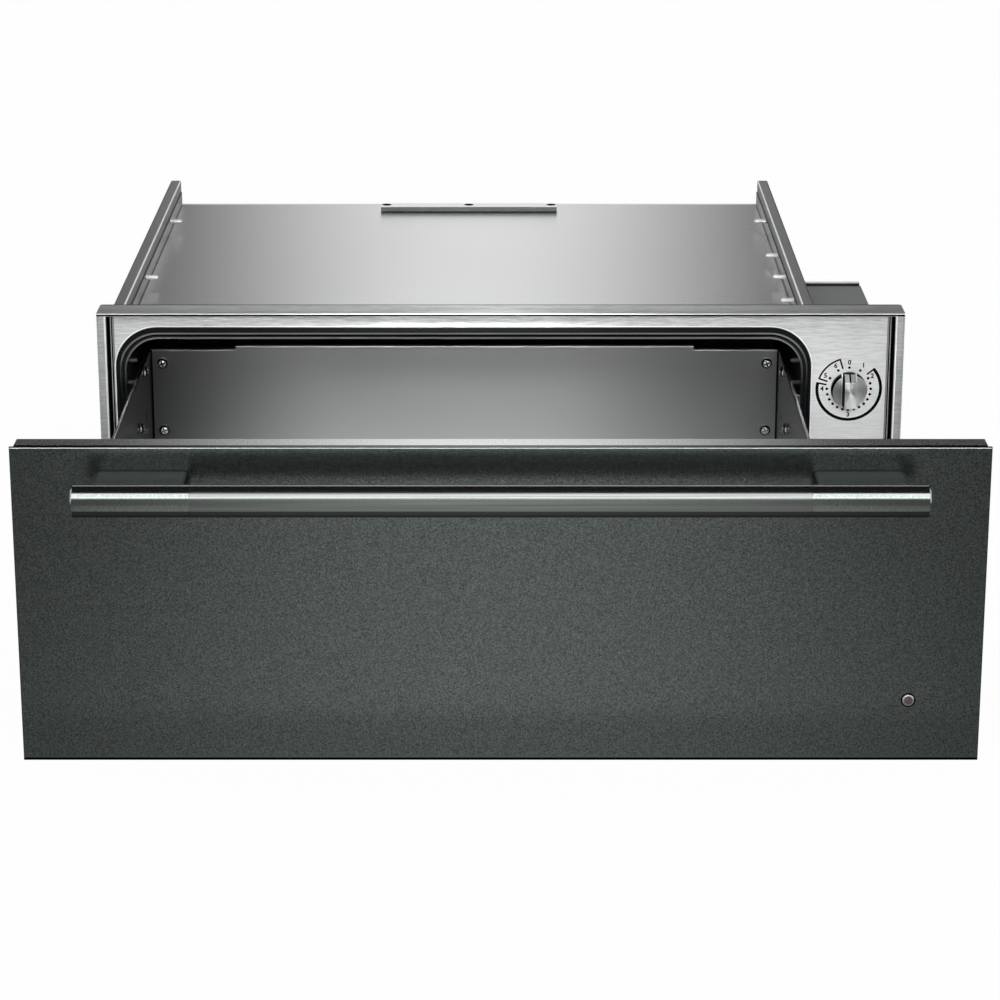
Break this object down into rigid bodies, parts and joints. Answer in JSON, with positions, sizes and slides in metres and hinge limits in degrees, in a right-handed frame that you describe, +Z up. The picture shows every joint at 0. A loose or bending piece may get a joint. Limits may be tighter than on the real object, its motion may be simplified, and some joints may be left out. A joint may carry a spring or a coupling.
{
  "type": "built in warming drawer",
  "caption": "Built-in warming drawer shown open: insulated steel chassis with a rounded mouth, drawer box on ball slides, dark flat front with a round bar handle, rotary heat dial.",
  "frame": {"origin": "middle of the front frame's lower front edge", "axes": "+X right seen from the front, +Y back into the cabinet, +Z up"},
  "size_m": [0.7556, 1.0529, 0.259],
  "materials": {
    "frame_steel": "horizontally brushed",
    "chassis_sheet": "mill",
    "cavity_steel": "dull",
    "gasket_rubber": "matte",
    "ring_enamel": "satin black",
    "mineral_wool": "fibrous",
    "plated_screw": "bright zinc",
    "box_paint": "matte",
    "control_plastic": "matte",
    "heater_sheath": "oxidised",
    "heater_ceramic": "glazed ceramic",
    "terminal_plastic": "matte",
    "gland_plastic": "matte",
    "slide_zinc": "zinc plated",
    "ball_steel": "polished",
    "front_coating": "dark satin coat",
    "front_inner": "dark satin coat",
    "liner_steel": "satin",
    "handle_steel": "polished along its length",
    "handle_end_steel": "polished",
    "post_coating": "dark satin coat",
    "knob_metal": "satin",
    "lens_red": "clear red",
    "lamp_plastic": "matte",
    "drawer_steel": "satin"
  },
  "bodies": {
    "chassis": {"frame_top_flange": "frame_steel", "frame_bottom_flange": "frame_steel", "frame_side_left": "frame_steel", "frame_side_right": "frame_steel", "face_plate": "frame_steel", "mouth_gasket": "gasket_rubber", "mouth_ring": "ring_enamel", "side_skin_left": "chassis_sheet", "side_skin_right": "chassis_sheet", "side_liner_left": "chassis_sheet", "side_liner_right": "chassis_sheet", "cavity_insulation": "mineral_wool", "top_cover": "chassis_sheet", "cavity_ceiling": "cavity_steel", "cavity_floor": "cavity_steel", "cavity_back": "cavity_steel", "back_panel": "chassis_sheet", "base_pan": "chassis_sheet", "rear_bracket": "chassis_sheet", "panel_screws": "plated_screw", "control_box": "box_paint", "control_cover": "box_paint", "heat_control": "control_plastic", "heating_element": "heater_sheath", "element_clips": "cavity_steel", "element_bushings": "heater_ceramic", "limit_thermostat": "control_plastic", "terminal_block": "terminal_plastic", "cable_gland": "gland_plastic", "slide_outer_left": "slide_zinc", "slide_outer_right": "slide_zinc"},
    "drawer": {"front_skin": "front_coating", "front_body": "front_inner", "front_insulation": "mineral_wool", "front_liner": "liner_steel", "handle_tube": "handle_steel", "handle_end_left": "handle_end_steel", "handle_end_right": "handle_end_steel", "handle_post_left": "post_coating", "handle_post_right": "post_coating", "handle_screws": "plated_screw", "indicator_bezel": "ball_steel", "indicator_lens": "lens_red", "indicator_lamp": "lamp_plastic", "drawer_side_left": "drawer_steel", "drawer_side_right": "drawer_steel", "drawer_back": "drawer_steel", "drawer_floor": "drawer_steel", "drawer_screws": "plated_screw", "slide_inner_left": "slide_zinc", "slide_inner_right": "slide_zinc"},
    "middle_left": {"slide_middle_left": "slide_zinc"},
    "middle_right": {"slide_middle_right": "slide_zinc"},
    "outer_cage_left": {"ball_cage_outer_left": "ball_steel"},
    "outer_cage_right": {"ball_cage_outer_right": "ball_steel"},
    "inner_cage_left": {"ball_cage_inner_left": "ball_steel"},
    "inner_cage_right": {"ball_cage_inner_right": "ball_steel"},
    "knob": {"control_knob": "knob_metal", "control_shaft": "plated_screw"}
  },
  "joints": [
    {"name": "drawer_slide", "type": "slide", "parent": "chassis", "child": "drawer", "axis": [0, -1, 0], "range_m": [-0.3926, 0]},
    {"name": "middle_slide_left", "type": "slide", "parent": "chassis", "child": "middle_left", "axis": [0, -1, 0], "range_m": [-0.1963, 0]},
    {"name": "outer_cage_slide_left", "type": "slide", "parent": "chassis", "child": "outer_cage_left", "axis": [0, -1, 0], "range_m": [-0.09815, 0]},
    {"name": "inner_cage_slide_left", "type": "slide", "parent": "chassis", "child": "inner_cage_left", "axis": [0, -1, 0], "range_m": [-0.29445, 0]},
    {"name": "middle_slide_right", "type": "slide", "parent": "chassis", "child": "middle_right", "axis": [0, -1, 0], "range_m": [-0.1963, 0]},
    {"name": "outer_cage_slide_right", "type": "slide", "parent": "chassis", "child": "outer_cage_right", "axis": [0, -1, 0], "range_m": [-0.09815, 0]},
    {"name": "inner_cage_slide_right", "type": "slide", "parent": "chassis", "child": "inner_cage_right", "axis": [0, -1, 0], "range_m": [-0.29445, 0]},
    {"name": "knob_turn", "type": "hinge", "parent": "chassis", "child": "knob", "pos_m": [0.3149, 0.011, 0.1518], "axis": [0, 1, 0], "range_deg": [0, 330]}
  ],
  "couplings": [
    {"joint": "middle_slide_left", "follows": "drawer_slide", "ratio": 0.5},
    {"joint": "outer_cage_slide_left", "follows": "drawer_slide", "ratio": 0.25},
    {"joint": "inner_cage_slide_left", "follows": "drawer_slide", "ratio": 0.75},
    {"joint": "middle_slide_right", "follows": "drawer_slide", "ratio": 0.5},
    {"joint": "outer_cage_slide_right", "follows": "drawer_slide", "ratio": 0.25},
    {"joint": "inner_cage_slide_right", "follows": "drawer_slide", "ratio": 0.75}
  ]
}
